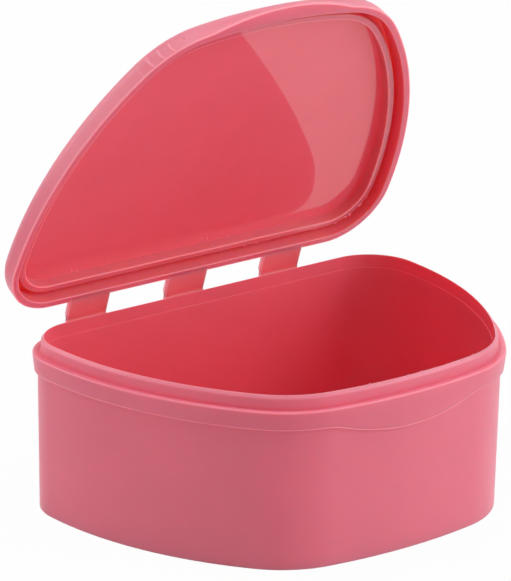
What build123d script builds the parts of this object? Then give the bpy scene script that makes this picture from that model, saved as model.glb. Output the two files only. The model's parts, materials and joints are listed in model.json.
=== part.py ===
"""Denture case with a hinged lid, in millimetres.

The case is a single thin-walled moulding: an open box, a shallow lid and three straps between
them. Each strap is two stiff leaves joined by a thin web that folds. The back of the case is
straight, the sides and the front bow outwards, and the case is widest near the hinge.

+Z is up, the front faces -Y and the hinge is at +Y. The origin is on the underside of the box,
on the middle plane, halfway between the front and the back of the shoulder. The lid is modelled
closed, then turned open about the webs, which is how the case stands here.
"""

from build123d import *

import math
import os

# Plan outline, taken at the shoulder of the box, where the lid's edge lands
case_width = 96.0
case_depth = 68.6
widest_y = 20.9
side_radius = 73.0
front_radius = 109.0
back_corner_radius = 12.5
front_corner_radius = 22.0

# Box: heights from the underside, insets from the plan outline
shoulder_z = 33.2
rim_z = 36.1
floor_thickness = 1.5
foot_inset = 1.5
foot_radius = 0.5
wall_inset = 1.0
cavity_floor_inset = 3.1
cavity_top_inset = 2.6
cavity_floor_radius = 2.5

# Band under the shoulder, with a shallow smile below the lid's thumb tab
band_inset = 0.35
band_height = 3.7
band_chamfer = 0.25
smile_half_width = 18.0
smile_drop = 3.1
bead_height = 0.9
bead_radius = 0.3

# Lip that stands on the shoulder and enters the lid
lip_foot_flare = 0.1
lip_foot_inset = 1.65
lip_top_inset = 1.88
lip_inner_inset = 2.33
lip_root_inset = 2.45
lip_crest_radius = 0.2

# Lid: heights from the lower edge of its skirt
parting_gap = 0.1
lid_height = 5.3
lid_edge_radius = 3.0
lid_top_inset = 0.3
skirt_inset = 1.5
skirt_flare = 0.2
panel_depth = 4.1
groove_radius = 0.4
ring_recess = 1.75
ring_outer_inset = 2.8
ring_inner_inset = 4.2
ring_draft = 0.1
ring_edge_radius = 0.25

# Thumb tab: a crescent flange on the front of the skirt
tab_half_width = 18.0
tab_reach = 2.1
tab_thickness = 1.0

# Hinge straps: the leaves are stiff, and taper to the web beyond their kink
strap_names = ["left", "middle", "right"]
strap_spacing = 24.8
strap_width = 9.8
leaf_thickness = 1.2
web_thickness = 0.35
hinge_reach = 5.05
kink_share = 0.55
open_angle = 64.2

back_y = case_depth / 2
front_y = -case_depth / 2
band_z = shoulder_z - band_height
lid_edge_z = shoulder_z + parting_gap
hinge_y = back_y + hinge_reach
hinge_z = shoulder_z + parting_gap / 2
hinge_axis = Axis((0, hinge_y, hinge_z), (1, 0, 0))


def make_plan():
    """The plan outline: two side arcs, a front arc and a straight back, with rounded corners."""
    side_x = case_width / 2 - side_radius
    right_side = Pos(side_x, widest_y) * Circle(side_radius)
    left_side = Pos(-side_x, widest_y) * Circle(side_radius)
    front = Pos(0, front_y + front_radius) * Circle(front_radius)
    back = Pos(0, back_y - case_width) * Rectangle(2 * case_width, 2 * case_width)
    sharp = right_side & left_side & front & back
    rounded = fillet(sharp.vertices().sort_by(Axis.Y)[-2:], back_corner_radius)
    return fillet(rounded.vertices().sort_by(Axis.Y)[:2], front_corner_radius)


plan = make_plan()


def stacked(*levels):
    """A solid that joins copies of the plan, each drawn in by an inset at its own height."""
    sections = [Pos(0, 0, z) * (offset(plan, -inset) if inset else plan) for inset, z in levels]
    return loft(sections, ruled=True)


def loops_at(shape, z):
    """The edges that lie in a level plane of the shape."""
    flat = 0.001
    return shape.edges().filter_by(
        lambda edge: edge.bounding_box().min.Z > z - flat and edge.bounding_box().max.Z < z + flat
    )


def arc_radius(half_chord, rise):
    """The radius of the arc that spans a chord with this rise at its middle."""
    return (half_chord**2 + rise**2) / (2 * rise)


def make_band():
    """The raised band below the shoulder, whose lower edge dips in an arc at the front."""
    smile_radius = arc_radius(smile_half_width, smile_drop)
    smile_z = band_z - smile_drop
    dip = Pos(0, front_y, smile_z + smile_radius) * Rot(90, 0, 0) * Cylinder(smile_radius, case_depth)
    apron = stacked((band_inset, smile_z - 1), (band_inset, band_z))
    band = stacked((band_inset, band_z), (band_inset, shoulder_z))
    band = chamfer(loops_at(band, band_z), band_chamfer)
    return band + (apron & dip)


def make_box():
    """The box: a drafted wall on a flat floor, the band, the shoulder bead and the lip."""
    wall = stacked((foot_inset, 0), (wall_inset, shoulder_z))
    wall = fillet(loops_at(wall, 0), foot_radius)
    bead_foot_z = shoulder_z - bead_height
    bead_face_z = bead_foot_z + band_inset
    bead = stacked((band_inset, bead_foot_z), (0, bead_face_z), (0, shoulder_z))
    bead = fillet(loops_at(bead, shoulder_z), bead_radius)
    lip = stacked(
        (lip_foot_inset - lip_foot_flare, shoulder_z),
        (lip_foot_inset, shoulder_z + 2 * lip_foot_flare),
        (lip_top_inset, rim_z),
    )
    step_z = shoulder_z + parting_gap
    cavity = stacked((cavity_floor_inset, floor_thickness), (cavity_top_inset, step_z))
    cavity = fillet(loops_at(cavity, floor_thickness), cavity_floor_radius)
    mouth = stacked((lip_root_inset, step_z), (lip_inner_inset, rim_z))
    box = wall + make_band() + bead + lip - cavity - mouth
    return fillet(loops_at(box, rim_z), lip_crest_radius)


def make_lid_shell():
    """The lid's flat panel and skirt, closed: its skirt stands outside the lip of the box."""
    top_z = lid_edge_z + lid_height
    panel_z = lid_edge_z + panel_depth
    shell = stacked((0, lid_edge_z), (lid_top_inset, top_z))
    shell = fillet(loops_at(shell, top_z), lid_edge_radius)
    hollow = stacked(
        (skirt_inset - skirt_flare, lid_edge_z),
        (skirt_inset, lid_edge_z + skirt_flare),
        (skirt_inset, panel_z),
    )
    return shell - fillet(loops_at(hollow, panel_z), groove_radius)


def make_seal_ring():
    """The ring that stands down from the panel and fits inside the lip."""
    crest_z = lid_edge_z + ring_recess
    panel_z = lid_edge_z + panel_depth
    outer = stacked((ring_outer_inset, crest_z), (ring_outer_inset - ring_draft, panel_z))
    inner = stacked((ring_inner_inset, crest_z), (ring_inner_inset + ring_draft, panel_z))
    ring = outer - inner
    return fillet(loops_at(ring, crest_z), ring_edge_radius)


def make_thumb_tab(shell):
    """The crescent that a thumb lifts, flush with the lower edge of the skirt."""
    chord_y = front_y + front_radius - math.sqrt(front_radius**2 - tab_half_width**2)
    tip_y = front_y - tab_reach
    tab_radius = arc_radius(tab_half_width, chord_y - tip_y)
    disc = Pos(0, tip_y + tab_radius) * Circle(tab_radius)
    ahead = Pos(0, chord_y - case_depth / 2) * Rectangle(case_width, case_depth)
    crescent = (disc & ahead) - offset(plan, -skirt_inset / 2)
    return extrude(Pos(0, 0, lid_edge_z) * crescent, tab_thickness) - shell


def make_leaf(side):
    """A strap leaf as a closed lid has it: side is 1 for the lid's leaf and -1 for the box's."""
    root_y = back_y - skirt_inset / 2
    kink_y = back_y + kink_share * hinge_reach
    inner_z = hinge_z + side * parting_gap / 2
    profile = Polyline(
        (0, root_y, inner_z),
        (0, hinge_y, inner_z),
        (0, hinge_y, inner_z + side * web_thickness),
        (0, kink_y, inner_z + side * leaf_thickness),
        (0, root_y, inner_z + side * leaf_thickness),
        close=True,
    )
    return extrude(make_face(profile), strap_width / 2, dir=(1, 0, 0), both=True)


def make_web():
    """The thin curved web that joins the tips of two leaves while the lid stands open."""
    inner_radius = parting_gap / 2
    outer_radius = inner_radius + web_thickness
    box_tip_angle = -90
    lid_tip_angle = 90 - open_angle
    inner_arc = CenterArc((0, 0), inner_radius, box_tip_angle, lid_tip_angle - box_tip_angle)
    outer_arc = CenterArc((0, 0), outer_radius, box_tip_angle, lid_tip_angle - box_tip_angle)
    ends = [Line(inner_arc @ end, outer_arc @ end) for end in (0, 1)]
    sector = make_face([inner_arc, outer_arc] + ends)
    strip = extrude(sector, strap_width / 2, both=True)
    return Pos(0, hinge_y, hinge_z) * Plane.YZ.location * strip


def opened(shape):
    """A lid piece turned from closed to where the lid stands open."""
    return shape.rotate(hinge_axis, -open_angle)


def make_parts():
    box = make_box()
    shell = make_lid_shell()
    parts = {
        "box_tub": box,
        "lid_shell": opened(shell),
        "lid_seal_ring": opened(make_seal_ring()),
        "lid_thumb_tab": opened(make_thumb_tab(shell)),
    }
    box_leaf = make_leaf(-1) - box
    lid_leaf = make_leaf(1) - shell
    web = make_web()
    for number, name in enumerate(strap_names):
        shift = Pos((number - 1) * strap_spacing, 0, 0)
        parts["box_leaf_" + name] = shift * box_leaf
        parts["lid_leaf_" + name] = opened(shift * lid_leaf)
        parts["hinge_web_" + name] = shift * web
    return parts


os.makedirs("parts", exist_ok=True)
for name, shape in make_parts().items():
    export_step(shape, "parts/" + name + ".step")
    size = shape.bounding_box().size
    print(name, shape.is_valid, len(shape.solids()), round(shape.volume, 1), "mm3,", size)
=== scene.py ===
import json
import math

import bmesh
import bpy
from mathutils import Matrix, Vector


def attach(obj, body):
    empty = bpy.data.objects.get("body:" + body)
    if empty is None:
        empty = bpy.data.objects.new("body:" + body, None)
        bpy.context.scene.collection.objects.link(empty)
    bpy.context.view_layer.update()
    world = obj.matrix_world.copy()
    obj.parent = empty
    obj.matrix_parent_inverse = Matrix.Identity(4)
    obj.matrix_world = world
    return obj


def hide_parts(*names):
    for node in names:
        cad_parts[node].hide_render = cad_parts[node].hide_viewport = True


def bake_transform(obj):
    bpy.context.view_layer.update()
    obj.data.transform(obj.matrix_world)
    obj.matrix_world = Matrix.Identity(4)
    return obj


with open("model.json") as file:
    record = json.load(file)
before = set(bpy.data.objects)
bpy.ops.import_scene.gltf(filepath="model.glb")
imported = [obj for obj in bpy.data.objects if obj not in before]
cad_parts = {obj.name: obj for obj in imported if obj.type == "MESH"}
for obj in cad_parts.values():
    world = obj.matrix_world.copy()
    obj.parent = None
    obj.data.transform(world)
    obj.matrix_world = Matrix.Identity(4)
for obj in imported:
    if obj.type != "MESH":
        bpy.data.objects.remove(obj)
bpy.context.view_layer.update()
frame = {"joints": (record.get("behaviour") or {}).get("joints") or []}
print("frame loaded")

mm = 0.001  # the object's sizes are in millimetres, and the stage's and the lamps' in metres
scene = bpy.context.scene

# The frame's hinge: the lid stands open at rest, and the joint's lowest value shuts it
lidSwing = frame["joints"][0]
hingePlace = Vector(lidSwing["pos_m"])
openAngle = math.radians(-lidSwing["range_deg"][0])
standOpen = (
    Matrix.Translation(hingePlace)
    @ Matrix.Rotation(-openAngle, 4, "X")
    @ Matrix.Translation(-hingePlace)
)

# The outline seen from above, where the lid's edge lands on the shoulder
outlineSizes = {
    "width": 96.0,
    "depth": 68.6,
    "widestY": 20.9,
    "sideRadius": 73.0,
    "frontRadius": 109.0,
    "backCorner": 12.5,
    "frontCorner": 22.0,
    "pointSpacing": 0.55,
}

# How a section's bends are drawn: the turn between two points, and the flat kept beside a bend
bendStep = math.radians(13)
brace = 0.15
slack = 0.01  # for telling which of a section's points lie on a face


def addNode(tree, kind, settings=None, **values):
    # Values go to sockets by their names in the editor, without the spaces
    node = tree.nodes.new(kind)
    for setting, value in (settings or {}).items():
        setattr(node, setting, value)
    for socket in node.inputs:
        key = socket.name.replace(" ", "")
        if key in values and socket.enabled:
            socket.default_value = values.pop(key)
    assert not values, (kind, values)
    return node


def maths(tree, operation, *values):
    # A maths node: numbers are set on it, sockets are linked to it
    node = addNode(tree, "ShaderNodeMath", {"operation": operation})
    for socket, value in zip(node.inputs, values):
        if isinstance(value, (int, float)):
            socket.default_value = value
        else:
            tree.links.new(value, socket)
    return node.outputs[0]


def newTree(name, kind, inputs, outputs):
    # A node group with named sockets, each given as its type and its starting value
    tree = bpy.data.node_groups.new(name, kind)
    for direction, sockets in (("INPUT", inputs), ("OUTPUT", outputs)):
        for label, (socketType, start) in sockets.items():
            kindOfSocket = "NodeSocket" + socketType
            socket = tree.interface.new_socket(label, in_out=direction, socket_type=kindOfSocket)
            if start is not None:
                socket.default_value = start
    return tree, tree.nodes.new("NodeGroupInput"), tree.nodes.new("NodeGroupOutput")


def finishTree(tree, geometry, plastic, end):
    # Every geometry tree ends in real geometry with its plastic on
    whole = addNode(tree, "GeometryNodeRealizeInstances")
    dress = addNode(tree, "GeometryNodeSetMaterial")
    tree.links.new(geometry, whole.inputs[0])
    tree.links.new(whole.outputs[0], dress.inputs["Geometry"])
    tree.links.new(plastic, dress.inputs["Material"])
    tree.links.new(dress.outputs[0], end.inputs[0])
    return tree


def growMesh(piece, tree, **values):
    # Runs a geometry tree on the piece and keeps what it makes as a plain mesh, with no modifier
    grow = piece.modifiers.new(tree.name, "NODES")
    grow.node_group = tree
    for item in tree.interface.items_tree:
        key = item.name.replace(" ", "")
        if item.item_type == "SOCKET" and item.in_out == "INPUT" and key in values:
            grow[item.identifier] = values[key]
    depsgraph = bpy.context.evaluated_depsgraph_get()
    grown = bpy.data.meshes.new_from_object(piece.evaluated_get(depsgraph), depsgraph=depsgraph)
    piece.modifiers.remove(grow)
    piece.data = grown
    grown.name = piece.name


def newPiece(name, verts, edges=(), faces=()):
    mesh = bpy.data.meshes.new(name)
    mesh.from_pydata(verts, edges, faces)
    piece = bpy.data.objects.new(name, mesh)
    scene.collection.objects.link(piece)
    return piece


def editMesh(piece):
    work = bmesh.new()
    work.from_mesh(piece.data)
    return work


def keepMesh(piece, work):
    work.to_mesh(piece.data)
    work.free()
    piece.data.shade_smooth()


def heading(centre, point):
    return math.atan2(point.y - centre.y, point.x - centre.x)


def meetingPoint(centreA, reachA, centreB, reachB):
    # The right-hand one of the two points at these distances from the two centres
    gap = centreB - centreA
    along = (reachA**2 - reachB**2 + gap.length_squared) / (2 * gap.length)
    aside = math.sqrt(reachA**2 - along**2)
    foot = centreA + gap.normalized() * along
    across = Vector((gap.y, -gap.x)).normalized() * aside
    return max(foot + across, foot - across, key=lambda point: point.x)


def rightHalfOutline():
    # Front arc, front corner, side arc, back corner and straight back, each tangent to the next
    size = outlineSizes
    backY = size["depth"] / 2
    frontCentre = Vector((0, size["frontRadius"] - backY))
    sideCentre = Vector((size["width"] / 2 - size["sideRadius"], size["widestY"]))
    frontTurn = meetingPoint(
        frontCentre, size["frontRadius"] - size["frontCorner"],
        sideCentre, size["sideRadius"] - size["frontCorner"],
    )
    backTurnY = backY - size["backCorner"]
    sideReach = size["sideRadius"] - size["backCorner"]
    backTurnX = sideCentre.x + math.sqrt(sideReach**2 - (backTurnY - sideCentre.y) ** 2)
    backTurn = Vector((backTurnX, backTurnY))
    frontEnd = heading(frontCentre, frontTurn)
    sideStart = heading(sideCentre, frontTurn)
    sideEnd = heading(sideCentre, backTurn)
    arcs = [
        (frontCentre, size["frontRadius"], -math.pi / 2, frontEnd),
        (frontTurn, size["frontCorner"], frontEnd, sideStart),
        (sideCentre, size["sideRadius"], sideStart, sideEnd),
        (backTurn, size["backCorner"], sideEnd, math.pi / 2),
    ]
    points = []
    for centre, radius, start, end in arcs:
        steps = math.ceil((end - start) * radius / size["pointSpacing"])
        for step in range(steps):
            angle = start + (end - start) * step / steps
            points.append(centre + radius * Vector((math.cos(angle), math.sin(angle))))
    steps = math.ceil(backTurnX / size["pointSpacing"])
    points += [Vector((backTurnX * (1 - step / steps), backY)) for step in range(steps + 1)]
    return points


def wholeOutline():
    half = rightHalfOutline()
    return half + [Vector((-point.x, point.y)) for point in half[-2:0:-1]]


def sidesOf(loop):
    return list(zip(loop, loop[1:] + loop[:1]))


def lengthAround(loop):
    return sum((after - point).length for point, after in sidesOf(loop))


def outlineAt(walk, inset=0.0):
    # The place this far from the middle of the front, walking towards +X
    loop = wholeOutline()
    if walk < 0:
        place = outlineAt(-walk, inset)
        return Vector((-place.x, place.y))
    for start, end in zip(loop, loop[1:]):
        length = (end - start).length
        if walk <= length:
            break
        walk -= length
    along = (end - start) / length
    outward = Vector((along.y, -along.x))
    return start + along * walk - outward * inset


def drawOutline(name, fineFrom=0.0, fineTo=0.0, fineStep=1.0):
    # Between two walks from the middle of the front, the points stand closer
    loop = []
    walk = 0.0
    whole = wholeOutline()
    around = lengthAround(whole)
    for point, after in sidesOf(whole):
        length = (after - point).length
        fine = fineFrom + around <= walk <= fineTo + around
        parts = math.ceil(length / fineStep) if fine else 1
        loop += [point.lerp(after, part / parts) for part in range(parts)]
        walk += length
    curve = bpy.data.curves.new(name, "CURVE")
    curve.dimensions = "3D"
    curve.twist_mode = "Z_UP"
    spline = curve.splines.new("POLY")
    spline.points.add(len(loop) - 1)
    for point, place in zip(spline.points, loop):
        point.co = (place.x * mm, place.y * mm, 0, 1)
    spline.use_cyclic_u = True
    outline = bpy.data.objects.new(name, curve)
    scene.collection.objects.link(outline)
    return outline


def roundedSection(corners):
    # Corners are (inset, height, radius) and, where an edge gets a painted highlight, how much.
    # Each bend is drawn in short steps, with a point close to both its ends, so that the flats
    # beside it stay flat when they are shaded smooth. A point is given back as inset, height and
    # share of painted highlight.
    places = [Vector(corner[:2]) for corner in corners]
    shines = [sum(corner[3:]) for corner in corners]
    points = [places[0].to_3d()]
    for i in range(1, len(corners) - 1):
        before, corner, after = places[i - 1:i + 2]
        radius = corners[i][2]
        arrive = (corner - before).normalized()
        leave = (after - corner).normalized()
        turn = arrive.angle_signed(leave)
        if abs(turn) < 0.01 or radius == 0:
            points.append(corner.to_3d())
            continue
        tangent = radius * math.tan(abs(turn) / 2)
        start = corner - arrive * tangent
        side = Vector((-arrive.y, arrive.x)) * (-1 if turn > 0 else 1)
        centre = start + side * radius
        steps = max(3, math.ceil(abs(turn) / bendStep))
        braced = start - arrive * min(brace, (start - before).length / 4)
        points.append(Vector((*braced, min(shines[i - 1:i + 1]))))
        for step in range(steps + 1):
            spin = Matrix.Rotation(-turn * step / steps, 2)
            points.append(Vector((*(centre + spin @ (start - centre)), shines[i])))
        end = corner + leave * tangent
        braced = end + leave * min(brace, (after - end).length / 4)
        points.append(Vector((*braced, min(shines[i:i + 2]))))
    return points + [places[-1].to_3d()]


def sweepTree():
    # A section swept round the outline, with a dip in what lies between two heights at the front
    tree, start, end = newTree(
        "sweepRoundOutline",
        "GeometryNodeTree",
        {
            "Section": ("Geometry", None),
            "Outline": ("Object", None),
            "Dip Half Width": ("Float", 0.0),
            "Dip Depth": ("Float", 0.0),
            "Dip From": ("Float", 0.0),
            "Dip To": ("Float", 0.0),
            "Dip Easing": ("Float", 0.0012),
            "Plastic": ("Material", None),
        },
        {"Swept": ("Geometry", None)},
    )
    link = tree.links.new
    outline = addNode(tree, "GeometryNodeObjectInfo")
    section = addNode(tree, "GeometryNodeMeshToCurve")
    sweep = addNode(tree, "GeometryNodeCurveToMesh")
    link(start.outputs["Outline"], outline.inputs["Object"])
    link(start.outputs["Section"], section.inputs["Mesh"])
    link(section.outputs["Curve"], sweep.inputs["Profile Curve"])
    # Each point remembers how far round it stands, and which way is out
    walk = addNode(tree, "GeometryNodeSplineParameter")
    tangent = addNode(tree, "GeometryNodeInputTangent")
    outward = addNode(tree, "ShaderNodeVectorMath", {"operation": "CROSS_PRODUCT"})
    outward.inputs[1].default_value = (0, 0, 1)
    link(tangent.outputs[0], outward.inputs[0])
    curve = outline.outputs["Geometry"]
    memories = (
        ("walk", "FLOAT", walk.outputs["Length"]),
        ("outward", "FLOAT_VECTOR", outward.outputs[0]),
    )
    for name, kind, value in memories:
        settings = {"data_type": kind, "domain": "POINT"}
        store = addNode(tree, "GeometryNodeStoreNamedAttribute", settings, Name=name)
        link(curve, store.inputs["Geometry"])
        link(value, store.inputs["Value"])
        curve = store.outputs[0]
    link(curve, sweep.inputs["Curve"])

    place = addNode(tree, "GeometryNodeInputPosition")
    parts = addNode(tree, "ShaderNodeSeparateXYZ")
    link(place.outputs[0], parts.inputs[0])
    across, inward, height = parts.outputs
    # The dip is an arc: its radius follows from its half width and its depth
    depth = maths(tree, "MAXIMUM", start.outputs["Dip Depth"], 1e-6)
    squares = maths(
        tree, "ADD",
        maths(tree, "POWER", start.outputs["Dip Half Width"], 2),
        maths(tree, "POWER", depth, 2),
    )
    radius = maths(tree, "DIVIDE", squares, maths(tree, "MULTIPLY", depth, 2))
    square = maths(tree, "POWER", across, 2)
    chord = maths(tree, "SUBTRACT", maths(tree, "POWER", radius, 2), square)
    arc = maths(tree, "SQRT", maths(tree, "MAXIMUM", chord, 0))
    sunk = maths(tree, "SUBTRACT", arc, maths(tree, "SUBTRACT", radius, depth))
    # The two places where the arc meets the level line are eased
    eased = maths(tree, "SMOOTH_MAX", sunk, 0, start.outputs["Dip Easing"])
    front = maths(tree, "LESS_THAN", inward, 0)
    above = maths(tree, "GREATER_THAN", height, start.outputs["Dip From"])
    below = maths(tree, "LESS_THAN", height, start.outputs["Dip To"])
    share = maths(tree, "MULTIPLY", front, maths(tree, "MULTIPLY", above, below))
    drop = addNode(tree, "ShaderNodeCombineXYZ")
    link(maths(tree, "MULTIPLY", eased, maths(tree, "MULTIPLY", share, -1)), drop.inputs["Z"])
    move = addNode(tree, "GeometryNodeSetPosition")
    link(sweep.outputs[0], move.inputs["Geometry"])
    link(drop.outputs[0], move.inputs["Offset"])
    return finishTree(tree, move.outputs[0], start.outputs["Plastic"], end)


def sweepPiece(name, points, outline, plastic, layers, **dip):
    # The section runs down the outside, so that the swept faces point outwards. Each layer gives
    # its points one number more: the painted highlight and the zone plain, the others in
    # millimetres.
    verts = [(-point.x * mm, -point.y * mm, 0) for point in points]
    piece = newPiece(name, verts, edges=[(i, i + 1) for i in range(len(verts) - 1)])
    for attribute, values in {"burnish": [point.z for point in points], **layers}.items():
        layer = piece.data.attributes.new(attribute, "FLOAT", "POINT")
        unit = 1 if attribute in ("burnish", "zone") else mm
        layer.data.foreach_set("value", [value * unit for value in values])
    growMesh(piece, sweepRound, Outline=outline, Plastic=plastic, **dip)
    return piece


def dressZones(piece, *plastics):
    # A face with all its corners in zone 1 takes the first of these plastics, in zone 2 the second
    for plastic in plastics:
        piece.data.materials.append(plastic)
    zones = piece.data.attributes["zone"].data
    for face in piece.data.polygons:
        face.material_index = round(min(zones[corner].value for corner in face.vertices))


def forgetAttributes(piece):
    for name in ("walk", "outward", "pushOut", "pushUp", "drawIn", "zone"):
        if name in piece.data.attributes:
            piece.data.attributes.remove(piece.data.attributes[name])


def closeEnds(piece):
    # Fills the level rings that a section leaves open at its two ends
    work = editMesh(piece)
    bmesh.ops.holes_fill(work, edges=[edge for edge in work.edges if edge.is_boundary], sides=0)
    keepMesh(piece, work)


# One pink plastic in copies, some with painted light: the cavity's copy is painted deeper and with
# less sheen, a painted shade for the light that goes round in the hollows. The specular level is
# the sheen, and the glow is how far red, green and blue light travel in the plastic, in
# millimetres.
plasticLooks = {
    "boxPlastic": {
        "colour": (0.885, 0.203, 0.297), "roughness": 0.34,
        "specular": 0.75, "glow": (2.0, 0.8, 0.6),
    },
    "cavityPlastic": {
        "colour": (0.88, 0.152, 0.213), "roughness": 0.34,
        "specular": 0.38, "glow": (2.0, 0.8, 0.6),
    },
    "lidPlastic": {
        "colour": (0.975, 0.205, 0.298), "roughness": 0.34,
        "specular": 0.68, "glow": (4.0, 1.2, 0.6),
    },
    # ringPlastic: a copy of the lid's plastic painted redder, with less blue and less sheen, for
    # the deep red light in the groove and on the ring
    "ringPlastic": {
        "colour": (1.0, 0.19, 0.235), "roughness": 0.3,
        "specular": 0.42, "glow": (6.0, 1.8, 0.4),
    },
    "panelPlastic": {
        "colour": (0.915, 0.182, 0.246), "roughness": 0.035,
        "specular": 0.57, "glow": (3.0, 1.0, 0.7),
    },
    # hingePlastic: painted lighter, for the light that comes through the thin straps
    "hingePlastic": {
        "colour": (1.0, 0.24, 0.277), "roughness": 0.34,
        "specular": 0.4, "glow": (2.4, 0.9, 0.7),
    },
    # burrPlastic: painted pale, a painted highlight on the small burrs
    "burrPlastic": {
        "colour": (1.0, 0.36, 0.42), "roughness": 0.3,
        "specular": 0.3, "glow": (0.2, 0.1, 0.08),
    },
}

# What all of them share: the painted highlight and painted glow on the edges, and the marks that
# moulding leaves
skinLook = {
    "burnishedColour": (1.0, 0.28, 0.36, 1),
    "edgeGlow": (0.2, 0.06, 0.075, 1),
    "cloudScale": 38.0,
    "grainScale": 420.0,
    "clouding": 0.04,
    "driftShare": 0.3,
    "refraction": 1.49,
    "waveStrength": 0.05,
    "waveHeight": 0.2,
}


def mouldedGroup():
    # What melt flow and a moulding tool leave in a skin: clouding, drift in gloss and soft waves;
    # and on the edges a painted highlight and painted glow
    tree, start, end = newTree(
        "mouldedSkin",
        "ShaderNodeTree",
        {
            "Colour": ("Color", (0.8, 0.8, 0.8, 1)),
            "Clouding": ("Float", 0.0),
            "Cloud Scale": ("Float", 1.0),
            "Grain Scale": ("Float", 1.0),
            "Roughness": ("Float", 0.3),
            "Gloss Drift": ("Float", 0.05),
            "Burnished Colour": ("Color", (0.9, 0.9, 0.9, 1)),
            "Edge Glow": ("Color", (0, 0, 0, 1)),
        },
        {
            "Colour": ("Color", None),
            "Roughness": ("Float", None),
            "Waves": ("Float", None),
            "Glow": ("Color", None),
        },
    )
    link = tree.links.new
    place = addNode(tree, "ShaderNodeTexCoord")
    clouds = addNode(tree, "ShaderNodeTexNoise", Detail=3.0, Roughness=0.5)
    grain = addNode(tree, "ShaderNodeTexNoise", Detail=2.0)
    for noise, scale in ((clouds, "Cloud Scale"), (grain, "Grain Scale")):
        link(place.outputs["Object"], noise.inputs["Vector"])
        link(start.outputs[scale], noise.inputs["Scale"])
    lift = addNode(tree, "ShaderNodeMapRange", FromMin=0.3, FromMax=0.7, ToMin=-1.0, ToMax=1.0)
    link(clouds.outputs["Fac"], lift.inputs["Value"])
    share = addNode(tree, "ShaderNodeMath", {"operation": "MULTIPLY_ADD"})
    share.inputs[2].default_value = 1.0
    link(lift.outputs[0], share.inputs[0])
    link(start.outputs["Clouding"], share.inputs[1])
    tint = addNode(tree, "ShaderNodeHueSaturation")
    link(start.outputs["Colour"], tint.inputs["Color"])
    link(share.outputs[0], tint.inputs["Value"])
    drift = addNode(tree, "ShaderNodeMath", {"operation": "MULTIPLY_ADD"})
    link(grain.outputs["Fac"], drift.inputs[0])
    link(start.outputs["Gloss Drift"], drift.inputs[1])
    link(start.outputs["Roughness"], drift.inputs[2])
    # Along the edges the colour is painted paler, a painted highlight, and an emission colour
    # paints a glow there
    burnish = addNode(tree, "ShaderNodeAttribute", {"attribute_name": "burnish"})
    edged = addNode(tree, "ShaderNodeMix", {"data_type": "RGBA"})
    link(burnish.outputs["Fac"], edged.inputs[0])
    link(tint.outputs[0], edged.inputs[6])
    link(start.outputs["Burnished Colour"], edged.inputs[7])
    glow = addNode(tree, "ShaderNodeMix", {"data_type": "RGBA"})
    glow.inputs[6].default_value = (0, 0, 0, 1)
    link(burnish.outputs["Fac"], glow.inputs[0])
    link(start.outputs["Edge Glow"], glow.inputs[7])
    link(edged.outputs[2], end.inputs["Colour"])
    link(drift.outputs[0], end.inputs["Roughness"])
    link(glow.outputs[2], end.inputs["Glow"])
    link(clouds.outputs["Fac"], end.inputs["Waves"])
    return tree


def plasticMaterial(name):
    look = plasticLooks[name]
    material = bpy.data.materials.new(name)
    material.use_nodes = True
    # The painted glow on the edges is too faint to be worth sampling as lamps
    material.cycles.emission_sampling = "NONE"
    tree = material.node_tree
    tree.nodes.clear()
    link = tree.links.new
    skin = addNode(tree, "ShaderNodeGroup", {"node_tree": mouldedSkin})
    skin.inputs["Colour"].default_value = (*look["colour"], 1)
    skin.inputs["Roughness"].default_value = look["roughness"]
    skin.inputs["Gloss Drift"].default_value = look["roughness"] * skinLook["driftShare"]
    skin.inputs["Clouding"].default_value = skinLook["clouding"]
    skin.inputs["Cloud Scale"].default_value = skinLook["cloudScale"]
    skin.inputs["Grain Scale"].default_value = skinLook["grainScale"]
    skin.inputs["Burnished Colour"].default_value = skinLook["burnishedColour"]
    skin.inputs["Edge Glow"].default_value = skinLook["edgeGlow"]
    body = addNode(tree, "ShaderNodeBsdfPrincipled", IOR=skinLook["refraction"])
    body.inputs["Specular IOR Level"].default_value = look["specular"]
    # The moulding lets light through where it is thin: the red travels furthest
    body.inputs["Subsurface Weight"].default_value = 1.0
    body.inputs["Subsurface Radius"].default_value = look["glow"]
    body.inputs["Subsurface Scale"].default_value = mm
    # The emission is the painted glow on the edges, where the painted highlight lies
    body.inputs["Emission Strength"].default_value = 1.0
    bump = addNode(
        tree, "ShaderNodeBump",
        Strength=skinLook["waveStrength"], Distance=skinLook["waveHeight"] * mm,
    )
    result = addNode(tree, "ShaderNodeOutputMaterial")
    link(skin.outputs["Colour"], body.inputs["Base Color"])
    link(skin.outputs["Roughness"], body.inputs["Roughness"])
    link(skin.outputs["Glow"], body.inputs["Emission Color"])
    link(skin.outputs["Waves"], bump.inputs["Height"])
    link(bump.outputs[0], body.inputs["Normal"])
    link(body.outputs[0], result.inputs["Surface"])
    return material


mouldedSkin = mouldedGroup()
plastics = {name: plasticMaterial(name) for name in plasticLooks}
sweepRound = sweepTree()
print("looks ready")

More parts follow.
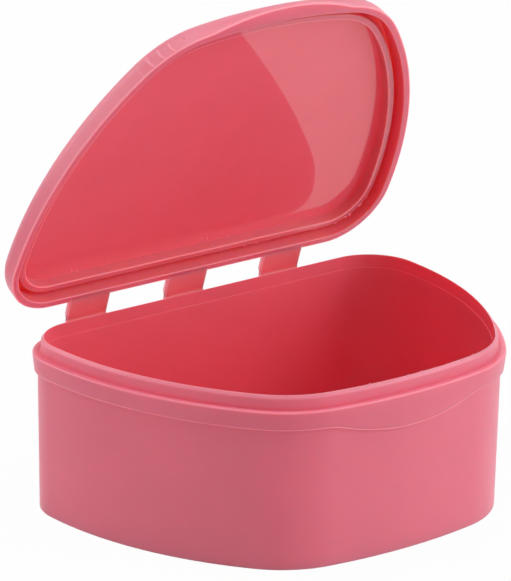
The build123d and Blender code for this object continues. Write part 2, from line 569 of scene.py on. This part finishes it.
# The box: heights from its underside, insets from the outline
boxSizes = {
    "floor": 1.5,
    "cavityFloor": 3.1,
    "cavityTop": 2.6,
    "floorRound": 2.5,
    "step": 33.3,
    "lipRoot": 2.45,
    "lipInner": 2.33,
    "lipBrow": 1.68,
    "browDrop": 0.68,
    "browRound": 0.6,
    "lipFoot": 1.62,
    "lipRound": 0.06,
    "rim": 36.1,
    "shoulder": 33.2,
    "shoulderRound": 0.35,
    "gutterDepth": 0.15,
    "gutterWidth": 0.3,
    "beadDraft": 0.03,
    "beadHeight": 0.9,
    "beadRound": 2.0,
    "bandInset": 0.28,
    "bandFoot": 29.4,
    "bandRise": 0.65,
    "bandRound": 0.5,
    "bandUndercut": 0.25,
    # The band's rounded lower edge: further in than its face, above its foot, radius and share of
    # painted highlight
    "bandEdge": ((0.17, 0.13, 0.03, 0), (0.07, 0, 0.04, 0.5), (0.32, -0.16, 0.1, 0)),
    "wallInset": 1.0,
    "wallStops": (24, 12),
    "footInset": 1.5,
    "footRound": 0.5,
    "middle": 11.0,
    "smileHalfWidth": 18.0,
    "smileDepth": 3.0,
    "smileEasing": 1.2,
    "smileBelow": 0.6,
    "smileAbove": 0.9,
}


def makeBox():
    size = boxSizes
    draft = (size["footInset"] - size["wallInset"]) / size["shoulder"]

    def wall(height):
        return size["footInset"] - draft * height

    foot = size["bandFoot"]
    undercut = foot - size["bandUndercut"]
    gutter = size["shoulder"] - size["gutterDepth"]
    # A fourth number paints a highlight on that edge: the lip's crest and brow, the shoulder's edge
    # and the band's lower edge
    corners = [
        (size["middle"], size["floor"], 0),
        (size["cavityFloor"], size["floor"], size["floorRound"]),
        (size["cavityTop"], size["step"], 0.05),
        (size["lipRoot"], size["step"], 0.04),
        (size["lipInner"], size["rim"], size["lipRound"], 0.2),
        (size["lipBrow"], size["rim"] - size["browDrop"], size["browRound"], 0.05),
        (size["lipFoot"], gutter, size["lipRound"]),
        (size["lipFoot"] - size["gutterWidth"], gutter, size["lipRound"]),
        (size["lipFoot"] - 2 * size["gutterWidth"], size["shoulder"], 0.3),
        (0, size["shoulder"], size["shoulderRound"], 0.15),
        (size["beadDraft"], size["shoulder"] - size["beadHeight"], size["beadRound"]),
        (size["bandInset"], foot + size["bandRise"], size["bandRound"]),
    ]
    for inward, above, radius, shine in size["bandEdge"]:
        corners.append((size["bandInset"] + inward, foot + above, radius, shine))
    corners += [(wall(undercut), undercut, 0.15)]
    corners += [(wall(height), height, 0) for height in size["wallStops"]]
    corners += [
        (size["footInset"], 0, size["footRound"]),
        (size["middle"], 0, 0),
    ]
    points = roundedSection(corners)
    # Zone 1 is the cavity, which takes the copy painted with shade: all that lies further in than
    # the lip and above the underside
    cavity = []
    for point in points:
        within = point.x > size["lipInner"] - 3 * slack
        cavity.append(int(within and point.y > size["floor"] - slack))
    outline = drawOutline("boxOutline")
    box = sweepPiece(
        "denture_box", points, outline, plastics["boxPlastic"], {"zone": cavity},
        DipHalfWidth=size["smileHalfWidth"] * mm,
        DipDepth=size["smileDepth"] * mm,
        DipFrom=(foot - size["smileBelow"]) * mm,
        DipTo=(foot + size["smileAbove"]) * mm,
        DipEasing=size["smileEasing"] * mm,
    )
    bpy.data.objects.remove(outline)
    closeEnds(box)
    dressZones(box, plastics["cavityPlastic"])
    forgetAttributes(box)
    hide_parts("box_tub")
    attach(box, "box")


# The lid: heights from the lower edge of its skirt, insets from the outline
lidSizes = {
    "edge": 33.3,
    "height": 5.3,
    "topInset": 0.3,
    "topRound": 3.0,
    "cornerRound": 0.22,
    "skirt": 1.55,
    "skirtRound": 0.18,
    "rimMiddle": 0.6,
    "panel": 4.1,
    "groove": 0.4,
    "middle": 9.0,
    "ringCrest": 1.75,
    "ringOuter": 2.8,
    "ringInner": 4.2,
    "ringDraft": 0.1,
    "ringRound": 0.16,
    "ringFillet": 0.45,
    "ringFoot": 0.08,
    "ringDrawnIn": 0.45,
    "drawnFrom": -14.0,
    "drawnTo": -30.0,
}

# The thumb tab: a crescent that grows out of the skirt's lower edge and fades at both ends
tabSizes = {
    "halfWidth": 17.5,
    "reach": 2.1,
    "thickness": 0.85,
    "edgeRound": 0.36,
    "fillet": 0.7,
    "top": 1.95,
    "fold": 0.32,
    "easing": 0.02,
}

# The grip ribs: they run down the skirt's front left corner, the first one furthest from the tab
ribSizes = {
    "first": -33.8,
    "spacing": 2.55,
    "count": 4,
    "middle": 1.75,
    "halfHeight": 1.6,
    "halfWidth": 0.26,
    "proud": 0.16,
    "bow": 0.45,
    "firstShare": 0.3,
    "shareStep": 0.6,
    "pointSpacing": 0.11,
    "margin": 1,
}


def lidSection():
    # Where the tab is widest each point is pushed out and up, and along the front the ring is
    # drawn in. Zone 1 lies inside the skirt, and zone 2 is the panel and the ring's crest.
    size = lidSizes
    tab = tabSizes
    lean = size["topInset"] / size["height"]
    top = [
        (size["middle"], size["height"], 0),
        (size["topInset"], size["height"], size["topRound"]),
        (lean * tab["top"], tab["top"], 0),
    ]
    # A fourth number paints a highlight on that edge: the tab's lower corner, the skirt's rounded
    # edge and the ring's inner crest
    crescent = roundedSection([
        (lean * tab["top"], tab["top"], 0),
        (lean * tab["thickness"], tab["thickness"], tab["fillet"]),
        (-tab["reach"], tab["thickness"], tab["edgeRound"]),
        (-tab["reach"], 0, size["cornerRound"], 1.0),
        (size["rimMiddle"], 0, 0),
    ])
    hollow = [
        (size["rimMiddle"], 0, 0),
        (size["skirt"], 0, size["skirtRound"], 0.35),
        (size["skirt"], size["panel"], size["groove"]),
        (size["ringOuter"] - size["ringDraft"], size["panel"], size["ringFillet"]),
        (size["ringOuter"], size["ringCrest"], size["ringRound"]),
        (size["ringInner"], size["ringCrest"], size["ringRound"], 0.7),
        (size["ringInner"] + size["ringDraft"], size["panel"], size["ringFoot"]),
        (size["middle"], size["panel"], 0),
    ]
    # Away from the tab its upper points lie on the skirt, down to the skirt's rounded lower edge
    edge = [i for i, point in enumerate(crescent) if point.x < -tab["reach"] / 2 and point.y < 0.3]
    corner = edge[0]
    plain = []
    for i, point in enumerate(crescent):
        if i < corner:
            height = tab["top"] + (tab["fold"] - tab["top"]) * i / (corner - 1)
            plain.append(Vector((lean * height, height, 0)))
        elif i == len(crescent) - 1:
            plain.append(point)
        else:
            plain.append(point + Vector((tab["reach"], 0, 0)))
    upper = roundedSection(top)[:-1]
    lower = roundedSection(hollow)[1:]
    points = upper + plain + lower
    still = Vector((0, 0, 0))
    pushes = [full - base for full, base in zip(crescent, plain)]
    pushes = [still] * len(upper) + pushes + [still] * len(lower)
    zones = []
    drawn = []
    for point in points:
        inside = point.x > size["skirt"] - slack and 0.1 < point.y < size["panel"] + slack
        onCrest = abs(point.y - size["ringCrest"]) < 0.001 and point.x > size["ringOuter"]
        onPanel = abs(point.y - size["panel"]) < 0.001 and point.x > size["ringInner"]
        zones.append(0 if not inside else 2 if onCrest or onPanel else 1)
        inRing = inside and size["ringOuter"] - 0.2 < point.x < size["middle"] - 0.1
        drawn.append(size["ringDrawnIn"] if inRing else 0)
    layers = {
        "pushOut": [-push.x for push in pushes],
        "pushUp": [push.y for push in pushes],
        "drawIn": drawn,
        "zone": zones,
    }
    lift = Vector((0, size["edge"], 0))
    return [point + lift for point in points], layers


def skirtTree():
    # Raises the thumb tab and the grip ribs out of a swept skirt
    tree, start, end = newTree(
        "raiseTabAndRibs",
        "GeometryNodeTree",
        {
            "Lid": ("Geometry", None),
            "Way Round": ("Float", 0.28),
            "Edge": ("Float", 0.0),
            "Tab Half Width": ("Float", 0.02),
            "Tab Easing": ("Float", 0.02),
            "Rib First": ("Float", 0.0),
            "Rib Spacing": ("Float", 0.01),
            "Rib Count": ("Int", 4),
            "Rib Middle": ("Float", 0.002),
            "Rib Half Height": ("Float", 0.001),
            "Rib Half Width": ("Float", 0.0002),
            "Rib Proud": ("Float", 0.0001),
            "Rib Bow": ("Float", 0.0),
            "Rib First Share": ("Float", 1.0),
            "Rib Share Step": ("Float", 0.0),
            "Drawn From": ("Float", 0.0),
            "Drawn To": ("Float", 0.01),
            "Plastic": ("Material", None),
        },
        {"Lid": ("Geometry", None)},
    )
    link = tree.links.new
    given = start.outputs
    layers = {}
    for name in ("walk", "outward", "pushOut", "pushUp", "drawIn", "burnish"):
        kind = "FLOAT_VECTOR" if name == "outward" else "FLOAT"
        node = addNode(tree, "GeometryNodeInputNamedAttribute", {"data_type": kind}, Name=name)
        layers[name] = node.outputs["Attribute"]
    # Past the middle of the back the walk counts down from zero, so that it runs both ways
    halfway = maths(tree, "MULTIPLY", given["Way Round"], 0.5)
    past = maths(tree, "GREATER_THAN", layers["walk"], halfway)
    lap = maths(tree, "MULTIPLY", past, given["Way Round"])
    walk = maths(tree, "SUBTRACT", layers["walk"], lap)

    # The tab's share is a parabola whose ends are eased into the skirt
    reach = maths(tree, "POWER", maths(tree, "DIVIDE", walk, given["Tab Half Width"]), 2)
    fall = maths(tree, "SUBTRACT", 1, reach)
    square = maths(tree, "POWER", fall, 2)
    root = maths(tree, "SQRT", maths(tree, "ADD", square, given["Tab Easing"]))
    share = maths(tree, "MULTIPLY", maths(tree, "ADD", fall, root), 0.5)
    tabOut = maths(tree, "MULTIPLY", layers["pushOut"], share)
    tabUp = maths(tree, "MULTIPLY", layers["pushUp"], share)

    # A rib is a low bow that narrows to nothing at both ends, on the outer face alone
    parts = addNode(tree, "ShaderNodeSeparateXYZ")
    link(addNode(tree, "GeometryNodeInputPosition").outputs[0], parts.inputs[0])
    normal = addNode(tree, "ShaderNodeVectorMath", {"operation": "DOT_PRODUCT"})
    link(addNode(tree, "GeometryNodeInputNormal").outputs[0], normal.inputs[0])
    link(layers["outward"], normal.inputs[1])
    outer = maths(tree, "GREATER_THAN", normal.outputs["Value"], 0.3)
    ribMiddle = maths(tree, "ADD", given["Edge"], given["Rib Middle"])
    height = maths(tree, "SUBTRACT", parts.outputs["Z"], ribMiddle)
    level = maths(tree, "POWER", maths(tree, "DIVIDE", height, given["Rib Half Height"]), 2)
    within = maths(tree, "MAXIMUM", maths(tree, "SUBTRACT", 1, level), 0)
    bowed = maths(tree, "ADD", walk, maths(tree, "MULTIPLY", given["Rib Bow"], within))
    sinceFirst = maths(tree, "SUBTRACT", bowed, given["Rib First"])
    count = maths(tree, "DIVIDE", sinceFirst, given["Rib Spacing"])
    nearest = maths(tree, "ROUND", count)
    known = maths(
        tree, "MULTIPLY",
        maths(tree, "GREATER_THAN", nearest, -0.5),
        maths(tree, "LESS_THAN", nearest, maths(tree, "SUBTRACT", given["Rib Count"], 0.5)),
    )
    aside = maths(tree, "MULTIPLY", maths(tree, "SUBTRACT", count, nearest), given["Rib Spacing"])
    reachAside = maths(tree, "POWER", maths(tree, "DIVIDE", aside, given["Rib Half Width"]), 2)
    fallAside = maths(tree, "MAXIMUM", maths(tree, "SUBTRACT", 1, reachAside), 0)
    crest = maths(tree, "MULTIPLY", fallAside, maths(tree, "SQRT", within))
    rising = maths(tree, "MULTIPLY_ADD", nearest, given["Rib Share Step"], given["Rib First Share"])
    strength = maths(tree, "MINIMUM", rising, 1)
    proud = maths(tree, "MULTIPLY", given["Rib Proud"], maths(tree, "MULTIPLY", strength, known))
    ribOut = maths(tree, "MULTIPLY", maths(tree, "MULTIPLY", crest, proud), outer)

    # The ribs get a painted highlight, each one after the first more than the one before
    shine = maths(
        tree, "MULTIPLY",
        maths(tree, "MULTIPLY", crest, known),
        maths(tree, "MULTIPLY", outer, strength),
    )
    settings = {"data_type": "FLOAT", "domain": "POINT"}
    paintHighlight = addNode(tree, "GeometryNodeStoreNamedAttribute", settings, Name="burnish")
    link(given["Lid"], paintHighlight.inputs["Geometry"])
    link(maths(tree, "MAXIMUM", shine, layers["burnish"]), paintHighlight.inputs["Value"])

    # Along the front the ring stands a little further in
    front = addNode(tree, "ShaderNodeMapRange", {"interpolation_type": "SMOOTHSTEP"})
    link(parts.outputs["Y"], front.inputs["Value"])
    link(given["Drawn From"], front.inputs["From Min"])
    link(given["Drawn To"], front.inputs["From Max"])
    ringIn = maths(tree, "MULTIPLY", layers["drawIn"], front.outputs["Result"])

    out = addNode(tree, "ShaderNodeVectorMath", {"operation": "SCALE"})
    link(layers["outward"], out.inputs[0])
    link(maths(tree, "SUBTRACT", maths(tree, "ADD", tabOut, ribOut), ringIn), out.inputs["Scale"])
    up = addNode(tree, "ShaderNodeCombineXYZ")
    link(tabUp, up.inputs["Z"])
    offset = addNode(tree, "ShaderNodeVectorMath", {"operation": "ADD"})
    link(out.outputs[0], offset.inputs[0])
    link(up.outputs[0], offset.inputs[1])
    move = addNode(tree, "GeometryNodeSetPosition")
    link(paintHighlight.outputs[0], move.inputs["Geometry"])
    link(offset.outputs[0], move.inputs["Offset"])
    return finishTree(tree, move.outputs[0], given["Plastic"], end)


def makeLid():
    size = lidSizes
    rib = ribSizes
    points, layers = lidSection()
    ribsEnd = rib["first"] + rib["spacing"] * (rib["count"] - 1)
    outline = drawOutline(
        "lidOutline", rib["first"] - rib["margin"], ribsEnd + rib["margin"], rib["pointSpacing"]
    )
    lid = sweepPiece("denture_lid", points, outline, plastics["lidPlastic"], layers)
    bpy.data.objects.remove(outline)
    growMesh(
        lid, skirtTree(),
        WayRound=lengthAround(wholeOutline()) * mm,
        Edge=size["edge"] * mm,
        TabHalfWidth=tabSizes["halfWidth"] * mm,
        TabEasing=tabSizes["easing"],
        RibFirst=rib["first"] * mm,
        RibSpacing=rib["spacing"] * mm,
        RibCount=rib["count"],
        RibMiddle=rib["middle"] * mm,
        RibHalfHeight=rib["halfHeight"] * mm,
        RibHalfWidth=rib["halfWidth"] * mm,
        RibProud=rib["proud"] * mm,
        RibBow=rib["bow"] * mm,
        RibFirstShare=rib["firstShare"],
        RibShareStep=rib["shareStep"],
        DrawnFrom=size["drawnFrom"] * mm,
        DrawnTo=size["drawnTo"] * mm,
        Plastic=plastics["lidPlastic"],
    )
    closeEnds(lid)
    dressZones(lid, plastics["ringPlastic"], plastics["panelPlastic"])
    forgetAttributes(lid)
    lid.data.transform(standOpen)
    for node in ("lid_shell", "lid_seal_ring", "lid_thumb_tab"):
        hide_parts(node)
    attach(lid, "lid")


# The straps: the section of one as (depth, height, radius), drawn while the lid stands open
strapSizes = {
    "width": 9.7,
    "edgeRound": 0.15,
    "count": 3,
    "spacing": 24.8,
    "shift": -0.65,
    "longestStep": 0.25,
    "bendFrom": 33.3,
    "bendTo": 35.9,
    "sideShine": 1.0,
    "rootShine": 0.12,
    "rootFrom": 36.6,
    "rootTo": 37.8,
    "section": (
        (36.92, 38.45, 0), (37.08, 37.85, 0), (38.42, 33.75, 0.5), (38.1, 33.05, 0.25),
        (34.1, 33.05, 0), (34.1, 32.05, 0), (37.0, 32.05, 0.5), (38.6, 32.78, 0.6),
        (39.0, 33.25, 0.5), (38.75, 33.9, 0.6), (38.95, 35.1, 0.35), (37.95, 38.22, 0),
        (37.9, 38.34, 0),
    ),
}


def repeatTree():
    tree, start, end = newTree(
        "repeatAlongHinge",
        "GeometryNodeTree",
        {
            "Piece": ("Geometry", None),
            "Count": ("Int", 3),
            "Spacing": ("Float", 0.02),
            "Shift": ("Float", 0.0),
            "Plastic": ("Material", None),
        },
        {"Row": ("Geometry", None)},
    )
    link = tree.links.new
    gaps = addNode(tree, "ShaderNodeMath", {"operation": "MULTIPLY_ADD"})
    gaps.inputs[1].default_value = -0.5
    gaps.inputs[2].default_value = 0.5
    reach = addNode(tree, "ShaderNodeMath", {"operation": "MULTIPLY_ADD"})
    step = addNode(tree, "ShaderNodeCombineXYZ")
    first = addNode(tree, "ShaderNodeCombineXYZ")
    line = addNode(tree, "GeometryNodeMeshLine")
    place = addNode(tree, "GeometryNodeInstanceOnPoints")
    link(start.outputs["Count"], gaps.inputs[0])
    link(gaps.outputs[0], reach.inputs[0])
    link(start.outputs["Spacing"], reach.inputs[1])
    link(start.outputs["Shift"], reach.inputs[2])
    link(start.outputs["Spacing"], step.inputs["X"])
    link(reach.outputs[0], first.inputs["X"])
    link(start.outputs["Count"], line.inputs["Count"])
    link(first.outputs[0], line.inputs["Start Location"])
    link(step.outputs[0], line.inputs["Offset"])
    link(line.outputs[0], place.inputs["Points"])
    link(start.outputs["Piece"], place.inputs["Instance"])
    return finishTree(tree, place.outputs[0], start.outputs["Plastic"], end)


def makeStraps():
    size = strapSizes
    chain = [point.to_2d() for point in roundedSection(size["section"])]
    section = []
    for point, after in sidesOf(chain):
        steps = max(1, math.ceil((after - point).length / size["longestStep"]))
        section += [point.lerp(after, step / steps) for step in range(steps)]
    count = len(section)
    inward = []
    for before, after in zip([section[-1]] + section[:-1], section[1:] + section[:1]):
        along = (after - before).normalized()
        inward.append(Vector((along.y, -along.x)))
    # The strap is drawn across at stations, which round its edges off at both sides
    stations = []
    half = size["width"] / 2
    for angle in (math.radians(turn) for turn in (0, 30, 60, 90)):
        stations.append((
            half - size["edgeRound"] * (1 - math.cos(angle)),
            size["edgeRound"] * (1 - math.sin(angle)),
        ))
    stations += [(-across, inset) for across, inset in stations[::-1]]
    verts = []
    faces = []
    for across, inset in stations:
        for point, side in zip(section, inward):
            spot = point + side * inset
            verts.append((across * mm, spot.x * mm, spot.y * mm))
    for row in range(len(stations) - 1):
        for step in range(count):
            after = (step + 1) % count
            first = row * count
            second = first + count
            faces.append((first + step, first + after, second + after, second + step))
    faces.append(tuple(range(count)))
    faces.append(tuple(range(len(verts) - count, len(verts))))
    straps = newPiece("hinge_straps", verts, faces=faces)
    # The straps' thin sides get a painted highlight and painted glow, and so do their roots beneath
    # the lid's skirt, where a little painted light lifts the shade
    shine = straps.data.attributes.new("burnish", "FLOAT", "POINT")
    for corner, (across, depth, height) in enumerate(verts):
        side = (abs(across) / mm - half + size["edgeRound"]) / size["edgeRound"]
        root = (height / mm - size["rootFrom"]) / (size["rootTo"] - size["rootFrom"])
        root = size["rootShine"] * min(max(root, 0), 1)
        shine.data[corner].value = max(size["sideShine"] * side, root)
    work = editMesh(straps)
    bmesh.ops.recalc_face_normals(work, faces=work.faces)
    keepMesh(straps, work)
    growMesh(
        straps, repeatTree(),
        Count=size["count"],
        Spacing=size["spacing"] * mm,
        Shift=size["shift"] * mm,
        Plastic=plastics["hingePlastic"],
    )
    for leaf in ("box_leaf_", "lid_leaf_", "hinge_web_"):
        for side in ("left", "middle", "right"):
            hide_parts(leaf + side)
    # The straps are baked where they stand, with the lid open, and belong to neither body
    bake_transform(straps)


# The small burrs that the mould left, each with its walk from the middle of the front, its inset
# and its height, which is from the skirt's edge on the lid. The loose ones stand on the lid too,
# and are given across and inward on a closed lid.
burrSizes = {
    "lidRadius": 0.25,
    "boxRadius": 0.16,
    "smallest": (0.45, 0.45, 0.6),
    "largest": (1.3, 1.0, 1.1),
    "turn": (0.5, 0.5, 6.28),
    "seed": 7,
    "shine": 0.9,
    "lidSpots": (
        (89.4, 2.9, 1.75), (91.9, 2.9, 1.75), (92.6, 3.1, 1.7), (96.1, 2.85, 1.75),
        (97.4, 3.1, 1.7), (100.8, 2.85, 1.75), (106.9, 2.85, 1.75), (122.5, 2.9, 1.75),
        (125.7, 2.9, 1.75), (131.5, 2.9, 1.75), (-53.3, 0.16, 2.8), (-54.6, 0.14, 2.5),
        (-23.1, 0.12, 2.2),
    ),
    "looseSpots": (
        (-29.0, 29.5, 4.1), (-27.5, 30.0, 4.1), (4.0, 29.0, 4.1), (5.4, 29.2, 4.1),
        (7.0, 30.15, 3.7), (6.0, 30.15, 2.5), (11.1, 30.15, 3.9),
    ),
    "boxSpots": (
        (0.3, 2.3, 36.08), (3.8, 2.3, 36.08), (18.5, 2.3, 36.08), (-9.3, 2.3, 36.08),
        (-61.4, 0.4, 29.42), (6.5, 0.05, 33.12),
    ),
}


def burrTree():
    tree, start, end = newTree(
        "scatterBurrs",
        "GeometryNodeTree",
        {
            "Spots": ("Geometry", None),
            "Burr Radius": ("Float", 0.0002),
            "Smallest": ("Vector", (1, 1, 1)),
            "Largest": ("Vector", (1, 1, 1)),
            "Turn": ("Vector", (0, 0, 0)),
            "Seed": ("Int", 0),
            "Plastic": ("Material", None),
        },
        {"Burrs": ("Geometry", None)},
    )
    link = tree.links.new
    burr = addNode(tree, "GeometryNodeMeshIcoSphere", Subdivisions=2)
    size = addNode(tree, "FunctionNodeRandomValue", {"data_type": "FLOAT_VECTOR"})
    turn = addNode(tree, "FunctionNodeRandomValue", {"data_type": "FLOAT_VECTOR"})
    place = addNode(tree, "GeometryNodeInstanceOnPoints")
    link(start.outputs["Smallest"], size.inputs["Min"])
    link(start.outputs["Largest"], size.inputs["Max"])
    link(start.outputs["Turn"], turn.inputs["Max"])
    link(start.outputs["Burr Radius"], burr.inputs["Radius"])
    link(start.outputs["Seed"], size.inputs["Seed"])
    link(start.outputs["Seed"], turn.inputs["Seed"])
    link(start.outputs["Spots"], place.inputs["Points"])
    link(burr.outputs[0], place.inputs["Instance"])
    link(size.outputs[0], place.inputs["Scale"])
    link(turn.outputs[0], place.inputs["Rotation"])
    return finishTree(tree, place.outputs[0], start.outputs["Plastic"], end)


def makeBurrs():
    size = burrSizes
    tree = burrTree()
    spots = {"lid": [], "box": []}
    for body, lift in (("lid", lidSizes["edge"]), ("box", 0)):
        for walk, inset, height in size[body + "Spots"]:
            place = outlineAt(walk, inset)
            spots[body].append((place.x * mm, place.y * mm, (height + lift) * mm))
    for across, inward, height in size["looseSpots"]:
        spots["lid"].append((across * mm, inward * mm, (height + lidSizes["edge"]) * mm))
    for body, verts in spots.items():
        burrs = newPiece(body + "_burrs", verts)
        growMesh(
            burrs, tree,
            BurrRadius=size[body + "Radius"] * mm,
            Smallest=size["smallest"],
            Largest=size["largest"],
            Turn=size["turn"],
            Seed=size["seed"],
            Plastic=plastics["burrPlastic"],
        )
        burrs.data.shade_smooth()
        # The burrs carry a painted highlight and painted glow all over
        shine = burrs.data.attributes.new("burnish", "FLOAT", "POINT")
        shine.data.foreach_set("value", [size["shine"]] * len(burrs.data.vertices))
        if body == "lid":
            burrs.data.transform(standOpen)
        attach(burrs, body)


makeBox()
makeLid()
makeStraps()
makeBurrs()
print("case made")

# Floor, world, lamps and camera. The white share is how much of the floor is white by itself.
stageLook = {
    "floorSize": 6.0,
    "floorColour": (0.74, 0.74, 0.74, 1),
    "whiteShare": 0.972,
    "skyColour": (1.0, 1.0, 1.0, 1),
    "skyStrength": 0.376,
}


def seenDirectly(tree):
    # 1 for rays from the camera and for what glossy and clear surfaces show, 0 for light that falls
    path = addNode(tree, "ShaderNodeLightPath")
    either = addNode(tree, "ShaderNodeMath", {"operation": "MAXIMUM"})
    anyRay = addNode(tree, "ShaderNodeMath", {"operation": "MAXIMUM"})
    tree.links.new(path.outputs["Is Camera Ray"], either.inputs[0])
    tree.links.new(path.outputs["Is Glossy Ray"], either.inputs[1])
    tree.links.new(either.outputs[0], anyRay.inputs[0])
    tree.links.new(path.outputs["Is Transmission Ray"], anyRay.inputs[1])
    return anyRay.outputs[0]


def makeStage():
    half = stageLook["floorSize"] / 2
    corners = [(-half, -half, 0), (half, -half, 0), (half, half, 0), (-half, half, 0)]
    floor = newPiece("paleFloor", corners, faces=[(0, 1, 2, 3)])
    material = bpy.data.materials.new("paleFloor")
    material.use_nodes = True
    tree = material.node_tree
    tree.nodes.clear()
    matte = addNode(tree, "ShaderNodeBsdfDiffuse", Color=stageLook["floorColour"])
    white = addNode(tree, "ShaderNodeEmission", Color=(1, 1, 1, 1), Strength=1.0)
    share = addNode(tree, "ShaderNodeMath", {"operation": "MULTIPLY"})
    share.inputs[1].default_value = stageLook["whiteShare"]
    mix = addNode(tree, "ShaderNodeMixShader")
    result = addNode(tree, "ShaderNodeOutputMaterial")
    tree.links.new(seenDirectly(tree), share.inputs[0])
    tree.links.new(share.outputs[0], mix.inputs["Fac"])
    tree.links.new(matte.outputs[0], mix.inputs[1])
    tree.links.new(white.outputs[0], mix.inputs[2])
    tree.links.new(mix.outputs[0], result.inputs["Surface"])
    floor.data.materials.append(material)

    world = bpy.data.worlds.new("studio")
    scene.world = world
    world.use_nodes = True
    tree = world.node_tree
    tree.nodes.clear()
    sky = addNode(
        tree, "ShaderNodeBackground",
        Color=stageLook["skyColour"], Strength=stageLook["skyStrength"],
    )
    backdrop = addNode(tree, "ShaderNodeBackground", Color=(1, 1, 1, 1), Strength=1.0)
    mix = addNode(tree, "ShaderNodeMixShader")
    result = addNode(tree, "ShaderNodeOutputWorld")
    tree.links.new(seenDirectly(tree), mix.inputs["Fac"])
    tree.links.new(sky.outputs[0], mix.inputs[1])
    tree.links.new(backdrop.outputs[0], mix.inputs[2])
    tree.links.new(mix.outputs[0], result.inputs["Surface"])


lampLook = {
    "right": {"place": (0.75, -0.75, 0.5), "size": 0.9, "power": 6.1},
    "backLeft": {"place": (-0.7, 0.85, 0.6), "size": 0.9, "power": 4.1},
    "top": {"place": (0.0, 0.1, 1.1), "size": 0.9, "power": 4.2},
}
lampTarget = Vector((0, 0, 0.04))


def makeLamps():
    for name, look in lampLook.items():
        data = bpy.data.lights.new(name + "Softbox", "AREA")
        data.shape = "SQUARE"
        data.size = look["size"]
        data.energy = look["power"]
        lamp = bpy.data.objects.new(name + "Softbox", data)
        scene.collection.objects.link(lamp)
        lamp.location = look["place"]
        lamp.rotation_euler = (lampTarget - lamp.location).to_track_quat("-Z", "Y").to_euler()


# The camera was fitted to the rim and the silhouette: angles in degrees, places in millimetres
cameraLook = {
    "azimuth": 38.59,
    "elevation": 18.76,
    "roll": 0.903,
    "distance": 1015.5,
    "target": (4.13, 20.86, 38.01),
    "focalPixels": 5014.28,
    "framePixels": 581,
}


def makeCamera():
    look = cameraLook
    azimuth, elevation, roll = (math.radians(look[key]) for key in ("azimuth", "elevation", "roll"))
    ahead = Vector((
        math.sin(azimuth) * math.cos(elevation),
        math.cos(azimuth) * math.cos(elevation),
        -math.sin(elevation),
    ))
    level = Vector((math.cos(azimuth), -math.sin(azimuth), 0))
    above = level.cross(ahead)
    right = level * math.cos(roll) + above * math.sin(roll)
    up = above * math.cos(roll) - level * math.sin(roll)
    data = bpy.data.cameras.new("camera")
    data.sensor_width = 36.0
    data.lens = look["focalPixels"] / look["framePixels"] * data.sensor_width
    data.clip_start = 0.05
    data.clip_end = 20.0
    camera = bpy.data.objects.new("camera", data)
    scene.collection.objects.link(camera)
    turn = Matrix((right, up, -ahead)).transposed().to_4x4()
    place = Vector(look["target"]) * mm - ahead * look["distance"] * mm
    camera.matrix_world = Matrix.Translation(place) @ turn
    scene.camera = camera


makeStage()
makeLamps()
makeCamera()
scene.view_settings.view_transform = "Standard"
print("stage set")
